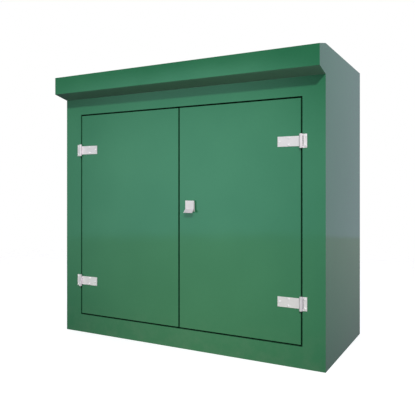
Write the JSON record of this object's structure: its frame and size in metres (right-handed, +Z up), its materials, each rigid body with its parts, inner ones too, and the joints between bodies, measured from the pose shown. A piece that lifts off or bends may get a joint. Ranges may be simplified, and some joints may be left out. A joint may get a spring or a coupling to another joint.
{
  "type": "backflow preventer in a twin-door cabinet",
  "caption": "Glossy green moulded cabinet with hinged twin doors, steel hinges and an overhanging canopy, holding a reduced-pressure-zone backflow valve set on its pipes.",
  "frame": {"origin": "on the ground under the middle of the whole outline, canopy included", "axes": "+Z up, -Y the way the doors face, +X to the right seen from the front"},
  "size_m": [1.3, 0.68, 1.25],
  "materials": {
    "green_gelcoat": "glossy dark green gelcoat on glass-reinforced plastic",
    "liner_panel": "off-white laminate over foam",
    "black_rubber": "matt black EPDM",
    "insulation": "rigid foam board with a pale facing",
    "plywood": "sealed plywood",
    "stainless": "satin stainless steel",
    "zinc_steel": "zinc-plated steel",
    "spring_steel": "bright drawn spring wire",
    "bronze": "cast bronze with machined faces",
    "copper": "drawn copper tube, slightly dulled",
    "seat_white": "PTFE and acetal",
    "mesh_steel": "fine stainless mesh",
    "blue_grip": "dipped vinyl over steel",
    "dark_plastic": "moulded black drain plastic",
    "chrome_ball": "polished chrome plate"
  },
  "bodies": {
    "cabinet": {"shell": "green_gelcoat", "door_seal": "black_rubber", "insulation_panels": "insulation", "backboard": "plywood", "hinge_plates": "stainless", "hinge_fixings": "stainless", "rod_keeps": "stainless", "pipe_supports": "zinc_steel", "pipe_risers": "copper", "pipe_elbows": "copper", "pipe_unions": "bronze", "inlet_valve_body": "bronze", "outlet_valve_body": "bronze", "seat_rings": "seat_white", "strainer_body": "bronze", "strainer_screen": "mesh_steel", "strainer_cap": "bronze", "rpz_body": "bronze", "check_covers": "bronze", "cover_bolts": "zinc_steel", "first_check_spring": "spring_steel", "second_check_spring": "spring_steel", "relief_body": "bronze", "relief_diaphragm": "black_rubber", "relief_spring": "spring_steel", "relief_cover": "bronze", "sensing_line": "copper", "test_cocks": "bronze", "tundish": "dark_plastic", "drain_pipe": "dark_plastic"},
    "left_door": {"left_door_skin": "green_gelcoat", "left_door_liner": "liner_panel", "left_hinge_straps": "stainless", "left_hinge_screws": "stainless", "left_bolt_guides": "zinc_steel"},
    "right_door": {"right_door_skin": "green_gelcoat", "right_door_liner": "liner_panel", "right_hinge_straps": "stainless", "right_hinge_screws": "stainless", "lock_escutcheon": "stainless", "lock_gearcase": "zinc_steel", "rod_guides": "zinc_steel"},
    "left_top_bolt": {"left_top_bolt": "stainless"},
    "left_bottom_bolt": {"left_bottom_bolt": "stainless"},
    "lock": {"lock_spindle": "zinc_steel", "lock_cam": "zinc_steel"},
    "upper_rod": {"upper_rod": "zinc_steel"},
    "lower_rod": {"lower_rod": "zinc_steel"},
    "lock_cover": {"lock_cover": "stainless"},
    "inlet_valve": {"inlet_valve_ball": "chrome_ball", "inlet_valve_handle": "blue_grip"},
    "outlet_valve": {"outlet_valve_ball": "chrome_ball", "outlet_valve_handle": "blue_grip"},
    "first_check": {"first_check_disc": "black_rubber"},
    "second_check": {"second_check_disc": "black_rubber"},
    "relief_valve": {"relief_stem": "stainless"},
    "test_cock_1": {"test_cock_stem_1": "bronze"},
    "test_cock_2": {"test_cock_stem_2": "bronze"},
    "test_cock_3": {"test_cock_stem_3": "bronze"},
    "test_cock_4": {"test_cock_stem_4": "bronze"}
  },
  "joints": [
    {"name": "left_door_hinge", "type": "hinge", "parent": "cabinet", "child": "left_door", "pos_m": [-0.5555, -0.2675, 0.572], "axis": [0, 0, -1], "range_deg": [0, 115]},
    {"name": "right_door_hinge", "type": "hinge", "parent": "cabinet", "child": "right_door", "pos_m": [0.5555, -0.2675, 0.572], "axis": [0, 0, 1], "range_deg": [0, 115]},
    {"name": "left_top_bolt_slide", "type": "slide", "parent": "left_door", "child": "left_top_bolt", "axis": [0, 0, 1], "range_m": [0, 0.02]},
    {"name": "left_bottom_bolt_slide", "type": "slide", "parent": "left_door", "child": "left_bottom_bolt", "axis": [0, 0, -1], "range_m": [0, 0.02]},
    {"name": "lock_turn", "type": "hinge", "parent": "right_door", "child": "lock", "pos_m": [0.06, -0.23, 0.62], "axis": [0, 1, 0], "range_deg": [0, 90]},
    {"name": "upper_rod_slide", "type": "slide", "parent": "right_door", "child": "upper_rod", "axis": [0, 0, 1], "range_m": [0, 0.0166]},
    {"name": "lower_rod_slide", "type": "slide", "parent": "right_door", "child": "lower_rod", "axis": [0, 0, -1], "range_m": [0, 0.0166]},
    {"name": "lock_cover_hinge", "type": "hinge", "parent": "right_door", "child": "lock_cover", "pos_m": [0.06, -0.267, 0.643], "axis": [-1, 0, 0], "range_deg": [0, 100]},
    {"name": "inlet_valve_turn", "type": "hinge", "parent": "cabinet", "child": "inlet_valve", "pos_m": [-0.292, 0.11, 0.62], "axis": [0, 0, 1], "range_deg": [0, 90]},
    {"name": "outlet_valve_turn", "type": "hinge", "parent": "cabinet", "child": "outlet_valve", "pos_m": [0.292, 0.11, 0.62], "axis": [0, 0, -1], "range_deg": [0, 90]},
    {"name": "first_check_lift", "type": "slide", "parent": "cabinet", "child": "first_check", "axis": [0, 0, 1], "range_m": [0, 0.015], "stiffness_N_per_m": 1500, "springref_m": -0.02, "deforming": ["first_check_spring"]},
    {"name": "second_check_lift", "type": "slide", "parent": "cabinet", "child": "second_check", "axis": [0, 0, 1], "range_m": [0, 0.015], "stiffness_N_per_m": 1500, "springref_m": -0.02, "deforming": ["second_check_spring"]},
    {"name": "relief_valve_lift", "type": "slide", "parent": "cabinet", "child": "relief_valve", "axis": [0, 0, 1], "range_m": [0, 0.0079], "stiffness_N_per_m": 2500, "springref_m": -0.02, "deforming": ["relief_spring", "relief_diaphragm"]},
    {"name": "test_cock_1_turn", "type": "hinge", "parent": "cabinet", "child": "test_cock_1", "pos_m": [-0.325, 0.044, 0.62], "axis": [0, 0, 1], "range_deg": [0, 90]},
    {"name": "test_cock_2_turn", "type": "hinge", "parent": "cabinet", "child": "test_cock_2", "pos_m": [-0.062, 0.046, 0.62], "axis": [0, 0, 1], "range_deg": [0, 90]},
    {"name": "test_cock_3_turn", "type": "hinge", "parent": "cabinet", "child": "test_cock_3", "pos_m": [0.075, 0.054, 0.626], "axis": [0, 0, 1], "range_deg": [0, 90]},
    {"name": "test_cock_4_turn", "type": "hinge", "parent": "cabinet", "child": "test_cock_4", "pos_m": [0.214, 0.05, 0.622], "axis": [0, 0, 1], "range_deg": [0, 90]}
  ],
  "couplings": [
    {"joint": "upper_rod_slide", "follows": "lock_turn", "m_per_rad": 0.0105},
    {"joint": "lower_rod_slide", "follows": "lock_turn", "m_per_rad": 0.0105}
  ]
}
